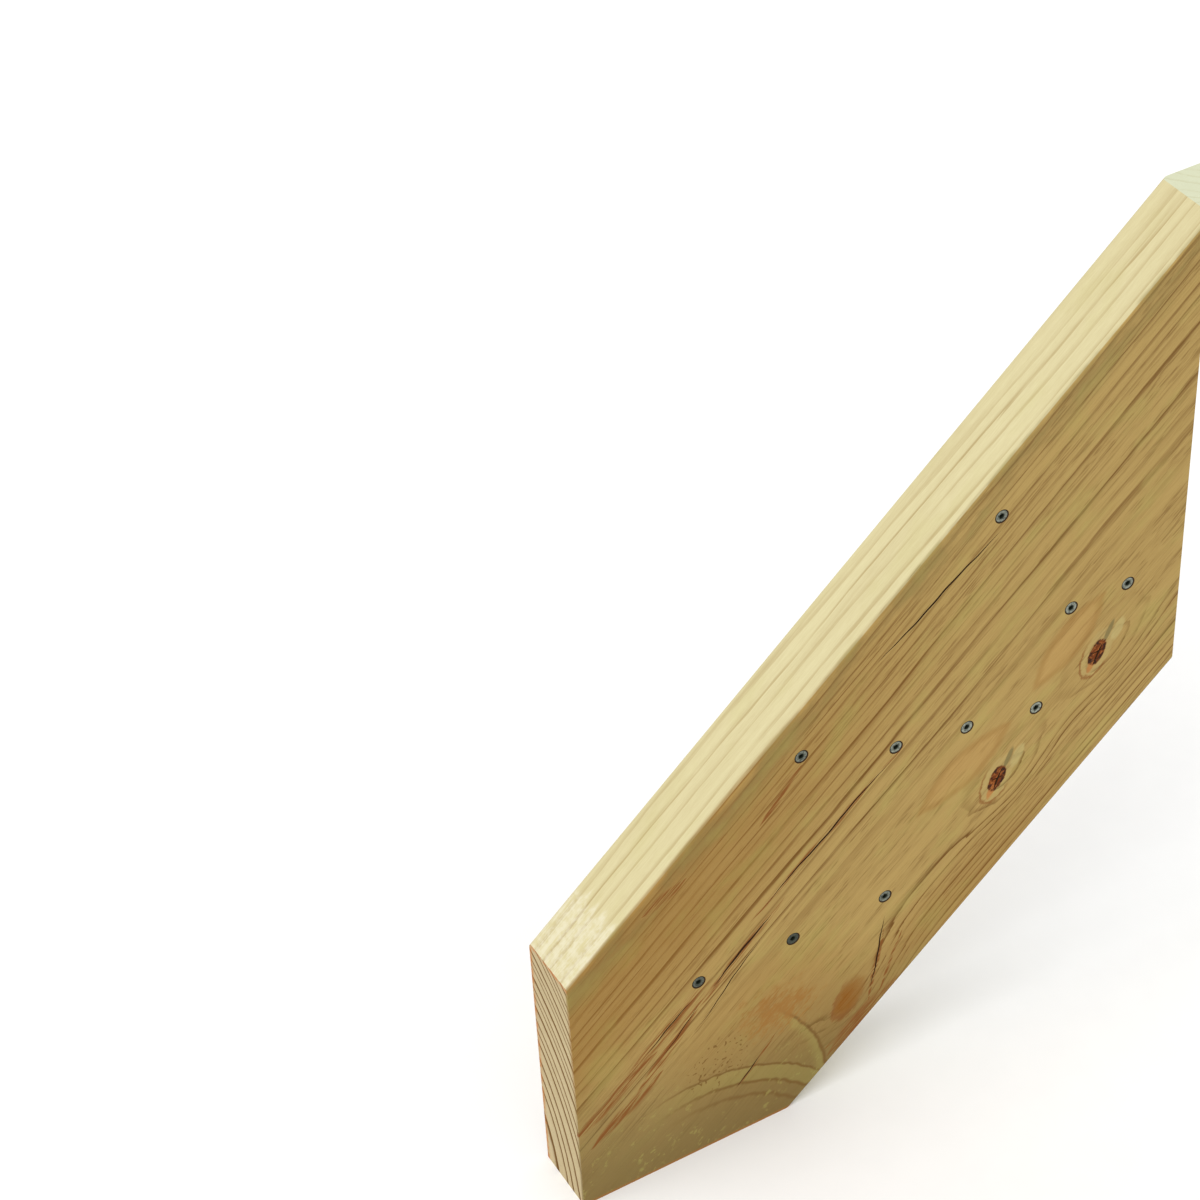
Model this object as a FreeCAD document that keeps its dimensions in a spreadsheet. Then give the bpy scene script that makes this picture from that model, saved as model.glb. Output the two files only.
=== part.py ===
"""Right-hand stringer of two timber steps, with its countersunk screws.

The stringer is one plank on a slope, sawn plumb and level at both ends. Its foot stands on the ground and a
hook at its head lies on the deck. A housing for each step is cut in its inner face, open at the plank's back.

Millimetres. X runs up the steps, Y from the outer face to the inner face, Z up. The origin is the centre of
the foot, so the outer face looks along -Y.
"""
import FreeCAD
import Part
import os
from enum import IntEnum

import Sketcher

DRIVING_SIZES = {
    # plank and slope
    "plank_thickness": 45.0,
    "plank_width": 240.0,
    "rise": 165.0,
    "going": 190.0,
    "arris_radius": 3.0,
    # cuts at the foot and the head
    "foot_length": 148.0,
    "hook_height": 60.0,
    "hook_length": 50.0,
    "notch_radius": 6.0,
    # housings in the inner face
    "housing_height": 46.0,
    "housing_depth": 12.0,
    "housing_margin": 27.0,
    "cutter_radius": 8.0,
    # screws
    "screw_length": 30.0,
    "screw_shank_diameter": 4.2,
    "screw_head_diameter": 8.0,
    "screw_head_rim": 0.3,
    "screw_point_length": 7.0,
    "screw_drive_width": 2.8,
    "screw_drive_depth": 2.2,
    "screw_sink": 0.3,
    "screw_clearance": 0.05,
    # where the screws go in
    "lower_row_start": 58.5,
    "lower_row_pitch": 65.0,
    "lower_row_drop": 17.5,
    "upper_row_margin": 38.5,
    "upper_row_pitch": 40.5,
    "upper_row_drop": 15.0,
    "middle_row_start": 217.5,
    "middle_row_inset": 87.5,
    "middle_row_step_along": 31.5,
    "middle_row_step_across": 39.3,
    "edge_pair_start": 185.5,
    "edge_pair_pitch": 175.0,
    "edge_pair_inset": 26.5,
}
STEPS = 2
LOWER_ROW_SCREWS = 3
UPPER_ROW_SCREWS = 2
MIDDLE_ROW_SCREWS = 3
EDGE_PAIR_SCREWS = 2

# The slope, written from one step of the stair
STEP_LENGTH = "sqrt(Sizes.rise ^ 2 + Sizes.going ^ 2)"
COSINE = f"(Sizes.going / {STEP_LENGTH})"
SINE = f"(Sizes.rise / {STEP_LENGTH})"
LEVEL_WIDTH = f"Sizes.plank_width / {SINE}"
FRONT_HEIGHT = f"(Sizes.plank_width / {COSINE} - Sizes.foot_length * Sizes.rise / Sizes.going)"

# The deck is one rise above the last step, and the plumb rear face stands below the start of the top cut
SEAT_HEIGHT = f"({STEPS + 1} * Sizes.rise)"
REAR = (
    f"(({SEAT_HEIGHT} + Sizes.hook_height - {FRONT_HEIGHT}) * Sizes.going / Sizes.rise"
    " - Sizes.foot_length / 2)"
)

# A head with a right-angled cone, so a hole widens by as much as the head is sunk
COUNTERSINK_ANGLE = 90
COUNTERSINK_DIAMETER = (
    "Sizes.screw_head_diameter + 2 * (Sizes.screw_sink + Sizes.screw_head_rim + Sizes.screw_clearance)"
)

# Points of sketch geometry, numbered from one, and a distance under which two places are the same
Point = IntEnum("Point", "START END CENTRE")
START, END, CENTRE = Point
ORIGIN_POINT = (-1, START)
SAME_PLACE = 1e-4


def make_sheet(doc):
    """Put each driving size in a row of the sheet, with its name beside it as the alias."""
    sheet = doc.addObject("Spreadsheet::Sheet", "Sizes")
    for row, (name, value) in enumerate(DRIVING_SIZES.items(), start=1):
        sheet.set(f"A{row}", name)
        sheet.set(f"B{row}", str(value))
        sheet.setAlias(f"B{row}", name)
    doc.recompute()
    return sheet


def sketch_on(body, role, name, lift=None):
    """A sketch on one of the body's origin planes, lifted along the plane's normal by an expression."""
    plane = next(feature for feature in body.Origin.OriginFeatures if feature.Role == role)
    sketch = body.newObject("Sketcher::SketchObject", name)
    sketch.AttachmentSupport = (plane, "")
    sketch.MapMode = "FlatFace"
    if lift:
        sketch.setExpression("AttachmentOffset.Base.z", lift)
    return sketch


def dimension(sketch, expression, kind, *where):
    """Add a dimension to the sketch and bind it to the expression."""
    value = float(sketch.evalExpression(expression))
    index = sketch.addConstraint(Sketcher.Constraint(kind, *where, value))
    sketch.setExpression(f"Constraints[{index}]", expression)


def chain(sketch, points):
    """Close a chain of straight lines through the points and return the lines' numbers."""
    corners = [FreeCAD.Vector(x, y, 0) for x, y in points]
    lines = [
        sketch.addGeometry(Part.LineSegment(corner, corners[(i + 1) % len(corners)]))
        for i, corner in enumerate(corners)
    ]
    for i, line in enumerate(lines):
        sketch.addConstraint(Sketcher.Constraint("Coincident", line, END, lines[(i + 1) % len(lines)], START))
    return lines


def value_of(sheet, expression):
    """The number that an expression gives with the sheet's present sizes."""
    return float(sheet.evalExpression(expression))


def draw_profile(sheet, sketch):
    """The stringer seen from its side: plumb front, level foot, sloping edges and the hook on the deck."""
    half_foot = value_of(sheet, "Sizes.foot_length / 2")
    front = value_of(sheet, FRONT_HEIGHT)
    slope = value_of(sheet, "Sizes.rise / Sizes.going")
    seat = value_of(sheet, SEAT_HEIGHT)
    top = seat + sheet.hook_height
    rear = value_of(sheet, REAR)
    foot, lower_edge, rear_face, hook_seat, hook_end, top_cut, upper_edge, front_face = chain(sketch, [
        (-half_foot, 0),
        (half_foot, 0),
        (rear, (rear - half_foot) * slope),
        (rear, seat),
        (rear + sheet.hook_length, seat),
        (rear + sheet.hook_length, top),
        (rear, top),
        (-half_foot, front),
    ])
    step = sketch.addGeometry(
        Part.LineSegment(FreeCAD.Vector(), FreeCAD.Vector(sheet.going, sheet.rise, 0)), True
    )
    sketch.addConstraint(Sketcher.Constraint("Coincident", step, START, *ORIGIN_POINT))
    dimension(sketch, "Sizes.going", "DistanceX", step, START, step, END)
    dimension(sketch, "Sizes.rise", "DistanceY", step, START, step, END)
    for line in (foot, hook_seat, top_cut):
        sketch.addConstraint(Sketcher.Constraint("Horizontal", line))
    for line in (rear_face, hook_end, front_face):
        sketch.addConstraint(Sketcher.Constraint("Vertical", line))
    for line in (lower_edge, upper_edge):
        sketch.addConstraint(Sketcher.Constraint("Parallel", line, step))
    sketch.addConstraint(Sketcher.Constraint("Symmetric", foot, START, foot, END, *ORIGIN_POINT))
    sketch.addConstraint(Sketcher.Constraint("Vertical", hook_seat, START, upper_edge, START))
    dimension(sketch, "Sizes.foot_length", "DistanceX", foot, START, foot, END)
    dimension(sketch, "Sizes.plank_width", "Distance", front_face, START, lower_edge)
    dimension(sketch, SEAT_HEIGHT, "DistanceY", *ORIGIN_POINT, hook_seat, START)
    dimension(sketch, "Sizes.hook_height", "DistanceY", hook_end, START, hook_end, END)
    dimension(sketch, "Sizes.hook_length", "DistanceX", hook_seat, START, hook_seat, END)


def housing_front(step):
    """The front end of a step's housing: a margin behind the front face, and one going further each time."""
    return f"(Sizes.housing_margin - Sizes.foot_length / 2 + {step - 1} * Sizes.going)"


def draw_housing(sheet, sketch, step):
    """One step's housing, as a level strip that runs out through the plank's back."""
    left = value_of(sheet, housing_front(step))
    right = value_of(sheet, f"{housing_front(step)} + {LEVEL_WIDTH}")
    high = step * sheet.rise
    low = high - sheet.housing_height
    bottom, back, top, front = chain(sketch, [(left, low), (right, low), (right, high), (left, high)])
    for line in (bottom, top):
        sketch.addConstraint(Sketcher.Constraint("Horizontal", line))
    for line in (back, front):
        sketch.addConstraint(Sketcher.Constraint("Vertical", line))
    dimension(sketch, housing_front(step), "DistanceX", *ORIGIN_POINT, front, END)
    dimension(sketch, LEVEL_WIDTH, "DistanceX", bottom, START, bottom, END)
    dimension(sketch, f"{step} * Sizes.rise", "DistanceY", *ORIGIN_POINT, top, START)
    dimension(sketch, "Sizes.housing_height", "DistanceY", back, START, back, END)


def edges_along(shape, direction, keep):
    """Names of the shape's straight edges along a direction whose middle passes the test."""
    names = []
    for number, edge in enumerate(shape.Edges, start=1):
        if not isinstance(edge.Curve, Part.Line):
            continue
        if edge.Curve.Direction.cross(direction).Length > SAME_PLACE:
            continue
        if keep(edge.CenterOfMass):
            names.append(f"Edge{number}")
    return names


def round_edges(doc, body, name, edges, radius):
    """Round the named edges of the body's last feature."""
    base = body.Tip
    fillet = body.newObject("PartDesign::Fillet", name)
    fillet.Base = (base, edges)
    fillet.setExpression("Radius", radius)
    doc.recompute()


def cut_away(doc, feature):
    """Compute a cutting feature and make sure that it took wood away."""
    before = feature.BaseFeature.Shape.Volume
    doc.recompute()
    if feature.Shape.Volume >= before:
        raise RuntimeError(f"{feature.Name} cuts nothing")


def on_plank(along, inset):
    """A point by its distance up the plank from the front corner and in from the upper edge."""
    x = f"-Sizes.foot_length / 2 + ({along}) * {COSINE} + ({inset}) * {SINE}"
    z = f"{FRONT_HEIGHT} + ({along}) * {SINE} - ({inset}) * {COSINE}"
    return x, z


def screw_places():
    """The screws' places on the outer face, as expressions for X and Z."""
    lower = [
        (f"{housing_front(1)} + Sizes.lower_row_start + {i} * Sizes.lower_row_pitch",
         "Sizes.rise - Sizes.lower_row_drop")
        for i in range(LOWER_ROW_SCREWS)
    ]
    upper = [
        (f"{REAR} - Sizes.upper_row_margin - {i} * Sizes.upper_row_pitch",
         "2 * Sizes.rise - Sizes.upper_row_drop")
        for i in range(UPPER_ROW_SCREWS)
    ]
    middle = [
        on_plank(f"Sizes.middle_row_start + {i} * Sizes.middle_row_step_along",
                 f"Sizes.middle_row_inset + {i} * Sizes.middle_row_step_across")
        for i in range(MIDDLE_ROW_SCREWS)
    ]
    edge = [
        on_plank(f"Sizes.edge_pair_start + {i} * Sizes.edge_pair_pitch", "Sizes.edge_pair_inset")
        for i in range(EDGE_PAIR_SCREWS)
    ]
    return lower + upper + middle + edge


def make_stringer(doc, sheet, places):
    """The plank with its cuts, rounded long edges, housings and screw holes."""
    body = doc.addObject("PartDesign::Body", "Stringer")
    body.Label = "stringer"

    profile = sketch_on(body, "XZ_Plane", "Profile")
    draw_profile(sheet, profile)
    plank = body.newObject("PartDesign::Pad", "Plank")
    plank.Profile = profile
    plank.Midplane = True
    plank.setExpression("Length", "Sizes.plank_thickness")
    doc.recompute()

    slope = FreeCAD.Vector(sheet.going, 0, sheet.rise).normalize()
    across = FreeCAD.Vector(0, 1, 0)
    long_edges = edges_along(plank.Shape, slope, lambda middle: True)
    round_edges(doc, body, "Arrises", long_edges, "Sizes.arris_radius")

    corner = FreeCAD.Vector(value_of(sheet, REAR), 0, value_of(sheet, SEAT_HEIGHT))
    notch = edges_along(body.Shape, across, lambda middle: middle.distanceToPoint(corner) < SAME_PLACE)
    round_edges(doc, body, "NotchCorner", notch, "Sizes.notch_radius")

    for step in range(1, STEPS + 1):
        outline = sketch_on(body, "XZ_Plane", f"HousingOutline{step}", "-Sizes.plank_thickness / 2")
        draw_housing(sheet, outline, step)
        housing = body.newObject("PartDesign::Pocket", f"Housing{step}")
        housing.Profile = outline
        housing.Reversed = True
        housing.setExpression("Length", "Sizes.housing_depth")
        cut_away(doc, housing)
        front = value_of(sheet, housing_front(step))
        corners = edges_along(
            housing.Shape, across,
            lambda middle: abs(middle.x - front) < SAME_PLACE and 0 < middle.y,
        )
        round_edges(doc, body, f"HousingCorners{step}", corners, "Sizes.cutter_radius")

    centres = sketch_on(body, "XZ_Plane", "ScrewCentres", "Sizes.plank_thickness / 2")
    for x, z in places:
        place = FreeCAD.Vector(value_of(sheet, x), value_of(sheet, z), 0)
        outline = Part.Circle(place, FreeCAD.Vector(0, 0, 1), sheet.screw_shank_diameter / 2)
        circle = centres.addGeometry(outline)
        dimension(centres, "Sizes.screw_shank_diameter / 2", "Radius", circle)
        dimension(centres, x, "DistanceX", *ORIGIN_POINT, circle, CENTRE)
        dimension(centres, z, "DistanceY", *ORIGIN_POINT, circle, CENTRE)
    doc.recompute()
    holes = body.newObject("PartDesign::Hole", "ScrewHoles")
    holes.Profile = centres
    holes.HoleCutType = "Countersink"
    holes.HoleCutCustomValues = True
    holes.DepthType = "Dimension"
    holes.DrillPoint = "Flat"
    holes.HoleCutCountersinkAngle = COUNTERSINK_ANGLE
    holes.setExpression("Diameter", "Sizes.screw_shank_diameter + 2 * Sizes.screw_clearance")
    holes.setExpression("HoleCutDiameter", COUNTERSINK_DIAMETER)
    holes.setExpression("Depth", "Sizes.screw_sink + Sizes.screw_length + Sizes.screw_clearance")
    cut_away(doc, holes)
    return body


def make_screw(doc, sheet):
    """One countersunk screw with a square drive, its head at the origin and its point along +Y."""
    body = doc.addObject("PartDesign::Body", "Screw")
    head = sheet.screw_head_diameter / 2
    shank = sheet.screw_shank_diameter / 2
    rim = sheet.screw_head_rim
    length = sheet.screw_length
    outline = sketch_on(body, "XY_Plane", "ScrewOutline")
    top, edge, cone, side, point, axis = chain(outline, [
        (0, 0),
        (head, 0),
        (head, rim),
        (shank, rim + head - shank),
        (shank, length - sheet.screw_point_length),
        (0, length),
    ])
    outline.addConstraint(Sketcher.Constraint("Coincident", top, START, *ORIGIN_POINT))
    outline.addConstraint(Sketcher.Constraint("Horizontal", top))
    for line in (edge, side, axis):
        outline.addConstraint(Sketcher.Constraint("Vertical", line))
    dimension(outline, "Sizes.screw_head_diameter / 2", "DistanceX", top, START, top, END)
    dimension(outline, "Sizes.screw_head_rim", "DistanceY", edge, START, edge, END)
    dimension(outline, "Sizes.screw_shank_diameter / 2", "DistanceX", *ORIGIN_POINT, side, START)
    dimension(outline, "(Sizes.screw_head_diameter - Sizes.screw_shank_diameter) / 2", "DistanceY",
              cone, START, cone, END)
    dimension(outline, "Sizes.screw_point_length", "DistanceY", point, START, point, END)
    dimension(outline, "Sizes.screw_length", "DistanceY", *ORIGIN_POINT, axis, START)
    turned = body.newObject("PartDesign::Revolution", "Turned")
    turned.Profile = outline
    turned.ReferenceAxis = (outline, ["V_Axis"])
    doc.recompute()

    square = sketch_on(body, "XZ_Plane", "DriveOutline")
    half = sheet.screw_drive_width / 2
    low, right, high, left = chain(square, [(-half, -half), (half, -half), (half, half), (-half, half)])
    for line in (low, high):
        square.addConstraint(Sketcher.Constraint("Horizontal", line))
    for line in (right, left):
        square.addConstraint(Sketcher.Constraint("Vertical", line))
    square.addConstraint(Sketcher.Constraint("Symmetric", low, START, high, START, *ORIGIN_POINT))
    dimension(square, "Sizes.screw_drive_width", "DistanceX", low, START, low, END)
    dimension(square, "Sizes.screw_drive_width", "DistanceY", right, START, right, END)
    drive = body.newObject("PartDesign::Pocket", "Drive")
    drive.Profile = square
    drive.setExpression("Length", "Sizes.screw_drive_depth")
    cut_away(doc, drive)
    return body


def make_screw_group(doc, screw, places):
    """The same screw at every place, its head sunk just below the outer face."""
    links = []
    for number, (x, z) in enumerate(places, start=1):
        link = doc.addObject("App::Link", f"Screw{number}")
        link.LinkedObject = screw
        link.setExpression("Placement.Base.x", x)
        link.setExpression("Placement.Base.y", "-Sizes.plank_thickness / 2 + Sizes.screw_sink")
        link.setExpression("Placement.Base.z", z)
        links.append(link)
    group = doc.addObject("Part::Compound", "TreadScrews")
    group.Label = "tread_screws"
    group.Links = links
    doc.recompute()
    return group


def check(doc, sub_parts):
    """Stop if any object failed or any sub-part has no sound shape."""
    for item in doc.Objects:
        if {"Invalid", "Error"} & set(item.State):
            raise RuntimeError(f"{item.Name} did not compute: {item.State}")
    for item in sub_parts:
        if item.Shape.isNull() or not item.Shape.isValid():
            raise RuntimeError(f"{item.Label} has no sound shape")


def main():
    """Build the document and write one file for each sub-part."""
    doc = FreeCAD.newDocument("StairStringer")
    sheet = make_sheet(doc)
    places = screw_places()
    stringer = make_stringer(doc, sheet, places)
    screw = make_screw(doc, sheet)
    screws = make_screw_group(doc, screw, places)
    sub_parts = [stringer, screws]
    check(doc, sub_parts)
    os.makedirs("parts", exist_ok=True)
    for item in sub_parts:
        item.Shape.exportStep(f"parts/{item.Label}.step")
        print(f"{item.Label}: {len(item.Shape.Solids)} solids, {item.Shape.Volume:.1f} mm3")


main()
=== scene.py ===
"""Looks of the stair stringer: a treated pine plank, its ten coated screws, a pale studio and the camera.

The finish of the timber is a solid one: rings, knots, stains and fibres are formulas of the plank's own
axes, so a line that leaves one face goes on over the next. The drying checks are cut into the mesh.
"""

import logging
import math
from dataclasses import dataclass, replace
from enum import Enum
from typing import Union

import bmesh
import bpy
import numpy as np
from mathutils import Matrix, Vector


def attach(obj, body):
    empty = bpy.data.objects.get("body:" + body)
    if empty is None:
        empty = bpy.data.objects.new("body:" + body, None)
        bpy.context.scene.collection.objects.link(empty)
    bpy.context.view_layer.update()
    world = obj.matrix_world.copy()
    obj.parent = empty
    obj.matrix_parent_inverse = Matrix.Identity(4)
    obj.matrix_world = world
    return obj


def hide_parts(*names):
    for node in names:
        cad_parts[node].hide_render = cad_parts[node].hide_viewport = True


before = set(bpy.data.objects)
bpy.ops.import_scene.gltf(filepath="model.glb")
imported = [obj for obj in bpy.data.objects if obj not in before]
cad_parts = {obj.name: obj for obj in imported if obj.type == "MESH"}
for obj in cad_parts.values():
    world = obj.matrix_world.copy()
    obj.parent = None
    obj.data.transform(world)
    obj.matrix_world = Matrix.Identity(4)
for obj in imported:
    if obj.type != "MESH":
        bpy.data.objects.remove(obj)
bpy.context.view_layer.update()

MM = 0.001
SAME_POINT = 1e-6
SLIVER = 1e-7
LOG = logging.getLogger("stringer")

Colour = tuple[float, float, float]
Socket = bpy.types.NodeSocket
Number = Union[float, np.ndarray, "Signal"]


class Signal(np.lib.mixins.NDArrayOperatorsMixin):
    """A number that a shader graph works out at every point of a surface.

    It answers numpy's arithmetic with Math nodes, so a formula written for arrays also writes a node graph.
    """

    OPERATIONS = {
        np.add: "ADD",
        np.subtract: "SUBTRACT",
        np.multiply: "MULTIPLY",
        np.divide: "DIVIDE",
        np.sqrt: "SQRT",
        np.exp: "EXPONENT",
        np.sin: "SINE",
        np.absolute: "ABSOLUTE",
        np.minimum: "MINIMUM",
        np.maximum: "MAXIMUM",
        np.floor: "FLOOR",
    }

    def __init__(self, graph: "Graph", socket: Socket) -> None:
        """Hold the socket that gives the number."""
        self.graph = graph
        self.socket = socket

    def __array_ufunc__(self, ufunc: np.ufunc, method: str, *inputs: Number, **options: object) -> "Signal":
        """Turn one numpy function of signals and plain numbers into a Math node.

        Args:
            ufunc: The numpy function.
            method: How numpy calls it, which is always a plain call here; not used.
            inputs: Signals and plain numbers.
            options: Numpy's options, of which none is used.

        Returns:
            The node's result.
        """
        return self.graph.math(self.OPERATIONS[ufunc], *inputs)


class Graph:
    """The node tree of one material, written as arithmetic on signals."""

    def __init__(self, name: str) -> None:
        """Make a material with one plain shader.

        Args:
            name: The material's name.
        """
        self.material = bpy.data.materials.new(name)
        self.material.use_nodes = True
        self.tree = self.material.node_tree
        self.shader = self.tree.nodes["Principled BSDF"]

    def add(self, kind: str, **settings: object) -> bpy.types.Node:
        """Add a node.

        Args:
            kind: Blender's name for the node.
            settings: Values for the node's own properties.

        Returns:
            The new node.
        """
        node = self.tree.nodes.new(kind)
        for name, value in settings.items():
            setattr(node, name, value)
        return node

    def feed(self, socket: Socket, value: object) -> None:
        """Link a signal or a socket to an input, or set a plain value on it.

        Args:
            socket: The input.
            value: A signal, an output socket, or a number, colour or vector.
        """
        if isinstance(value, Signal):
            value = value.socket
        if isinstance(value, Socket):
            self.tree.links.new(value, socket)
        else:
            socket.default_value = value

    def finish(self, **values: object) -> bpy.types.Material:
        """Feed the shader's inputs and hand over the material.

        Args:
            values: What goes into each input, by the input's name with low lines for spaces.

        Returns:
            The material.
        """
        for name, value in values.items():
            self.feed(self.shader.inputs[name.replace("_", " ")], value)
        return self.material

    def math(self, operation: str, *inputs: Number) -> Signal:
        """Add a Math node.

        Args:
            operation: Blender's name for the operation.
            inputs: Signals and plain numbers.

        Returns:
            The node's result.
        """
        node = self.add("ShaderNodeMath", operation=operation)
        for socket, value in zip(node.inputs, inputs):
            self.feed(socket, value)
        return Signal(self, node.outputs["Value"])

    def place(self, scale: float, turn: float = 0.0, shift: tuple = (0.0, 0.0, 0.0)) -> tuple[Signal, ...]:
        """The object's own coordinates, scaled, turned about Y and then shifted.

        Args:
            scale: One factor for all three.
            turn: Angle about Y.
            shift: What is added at the end.

        Returns:
            Three signals.
        """
        coordinates = self.add("ShaderNodeTexCoord")
        mapping = self.add("ShaderNodeMapping", vector_type="POINT")
        self.feed(mapping.inputs["Vector"], coordinates.outputs["Object"])
        self.feed(mapping.inputs["Location"], shift)
        self.feed(mapping.inputs["Rotation"], (0.0, turn, 0.0))
        self.feed(mapping.inputs["Scale"], (scale, scale, scale))
        split = self.add("ShaderNodeSeparateXYZ")
        self.feed(split.inputs["Vector"], mapping.outputs["Vector"])
        return tuple(Signal(self, output) for output in split.outputs)

    def facing(self, direction: tuple) -> Signal:
        """How squarely the surface faces a direction.

        Args:
            direction: A unit vector of the object's own frame.

        Returns:
            The cosine of the angle between the two.
        """
        coordinates = self.add("ShaderNodeTexCoord")
        node = self.add("ShaderNodeVectorMath", operation="DOT_PRODUCT")
        self.feed(node.inputs[0], coordinates.outputs["Normal"])
        self.feed(node.inputs[1], direction)
        return Signal(self, node.outputs["Value"])

    def stored(self, name: str) -> Signal:
        """A number that the mesh keeps at its points under a name."""
        node = self.add("ShaderNodeAttribute", attribute_type="GEOMETRY", attribute_name=name)
        return Signal(self, node.outputs["Fac"])

    def noise(self, place: tuple, detail: float = 2.0, roughness: float = 0.5) -> Signal:
        """Soft noise of unit size.

        Args:
            place: Three numbers to read it at, each already divided by the size of the spots along it.
            detail: How many finer layers it has.
            roughness: How strong the finer layers are.

        Returns:
            A number about 0.5.
        """
        vector = self.add("ShaderNodeCombineXYZ")
        for socket, value in zip(vector.inputs, place):
            self.feed(socket, value)
        node = self.add("ShaderNodeTexNoise", noise_dimensions="3D")
        self.feed(node.inputs["Vector"], vector.outputs["Vector"])
        self.feed(node.inputs["Scale"], 1.0)
        self.feed(node.inputs["Detail"], detail)
        self.feed(node.inputs["Roughness"], roughness)
        return Signal(self, node.outputs[0])

    def blend(self, share: Number, low: object, high: object) -> Socket:
        """Mix two colours.

        Args:
            share: How much of the second colour there is, from 0 to 1.
            low: The first colour, as a socket or a colour.
            high: The second colour, as a socket or a colour.

        Returns:
            A colour socket.
        """
        node = self.add("ShaderNodeMix", data_type="RGBA", clamp_factor=True)
        wanted = {"Factor_Float": share, "A_Color": low, "B_Color": high}
        for socket in node.inputs:
            if socket.identifier in wanted:
                value = wanted[socket.identifier]
                self.feed(socket, (*value, 1.0) if isinstance(value, tuple) else value)
        return next(output for output in node.outputs if output.identifier == "Result_Color")

    def relief(self, height: Signal, strength: float) -> Socket:
        """A normal tilted by a height in millimetres.

        Args:
            height: The height.
            strength: How much of the tilt is shown.

        Returns:
            A vector socket.
        """
        node = self.add("ShaderNodeBump")
        self.feed(node.inputs["Height"], height)
        self.feed(node.inputs["Distance"], MM)
        self.feed(node.inputs["Strength"], strength)
        return node.outputs["Normal"]


def smooth(value: Number, low: float, high: float) -> Number:
    """A soft step: 0 at low, 1 at high and 3t² - 2t³ between, where t is the share of the way.

    Args:
        value: An array or a signal.
        low: Where the step starts.
        high: Where it ends, which may be lower than its start.

    Returns:
        The step, of the same kind as the value.
    """
    share = np.minimum(np.maximum((value - low) / (high - low), 0.0), 1.0)
    return share * share * (3.0 - 2.0 * share)


@dataclass(frozen=True)
class Ramp:
    """A soft step from nothing at its start to full at its end, which may be the lower of the two."""

    start: float
    end: float

    def at(self, value: Number) -> Number:
        """How far the step has gone at a value, from 0 to 1."""
        return smooth(value, self.start, self.end)


def grid_object(name: str, grids: list[np.ndarray]) -> bpy.types.Object:
    """Make one object of several grids of points, with equal points merged so that seams and poles close.

    Args:
        name: The object's name.
        grids: Arrays of points, each of rows by columns by 3.

    Returns:
        The object, linked to the scene.
    """
    sizes = [grid.shape[0] * grid.shape[1] for grid in grids]
    starts = np.cumsum([0, *sizes[:-1]])
    faces = []
    for grid, start in zip(grids, starts):
        number = start + np.arange(grid.shape[0] * grid.shape[1]).reshape(grid.shape[:2])
        corners = (number[:-1, :-1], number[1:, :-1], number[1:, 1:], number[:-1, 1:])
        faces.append(np.stack(corners, axis=-1).reshape(-1, 4))
    points = np.concatenate([grid.reshape(-1, 3) for grid in grids])
    mesh = bpy.data.meshes.new(name)
    mesh.from_pydata(points.tolist(), [], np.concatenate(faces).tolist())
    weld(mesh)
    made = bpy.data.objects.new(name, mesh)
    bpy.context.scene.collection.objects.link(made)
    return made


def weld(mesh: bpy.types.Mesh) -> None:
    """Merge the equal points of a mesh, drop its slivers and turn its faces outwards.

    Args:
        mesh: The mesh, which is changed in place.
    """
    working = bmesh.new()
    working.from_mesh(mesh)
    bmesh.ops.remove_doubles(working, verts=working.verts, dist=SAME_POINT)
    bmesh.ops.dissolve_degenerate(working, edges=working.edges, dist=SLIVER)
    bmesh.ops.recalc_face_normals(working, faces=working.faces)
    working.to_mesh(mesh)
    working.free()


@dataclass(frozen=True)
class PlankAxes:
    """The plank's own axes in millimetres: along it, in from its upper edge and through it.

    Along is counted from the upper corner of the front cut. Through is the frame's Y.
    """

    rise: float = 165.0
    going: float = 190.0
    width: float = 240.0
    foot_length: float = 148.0
    thickness: float = 45.0

    @property
    def slope(self) -> float:
        """Angle of the plank above level."""
        return math.atan2(self.rise, self.going)

    @property
    def front_height(self) -> float:
        """Height of the front cut: the plumb section of the plank less what the foot takes off."""
        return self.width / math.cos(self.slope) - self.foot_length * math.tan(self.slope)

    @property
    def shift(self) -> tuple:
        """Where the frame's origin lies on the plank's axes.

        Returns:
            Its places along, through and above the upper edge.
        """
        cosine, sine = math.cos(self.slope), math.sin(self.slope)
        along = self.foot_length / 2 * cosine - self.front_height * sine
        above = -self.foot_length / 2 * sine - self.front_height * cosine
        return along, 0.0, above

    def signals(self, graph: Graph) -> tuple[Signal, Signal, Signal]:
        """Along, inset and through as signals of a graph."""
        along, through, above = graph.place(1 / MM, self.slope, self.shift)
        return along, above * -1.0, through

    def points(self, along: np.ndarray, inset: np.ndarray, through: np.ndarray) -> np.ndarray:
        """Points of the frame, in metres.

        Args:
            along: Places along the plank.
            inset: Places in from its upper edge.
            through: Places through it.

        Returns:
            An array whose last axis is X, Y and Z: the front corner, plus along up the slope, less inset
            square to it.
        """
        cosine, sine = math.cos(self.slope), math.sin(self.slope)
        x = along * cosine + inset * sine - self.foot_length / 2
        z = along * sine - inset * cosine + self.front_height
        return np.stack([x, through, z], axis=-1) * MM


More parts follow.
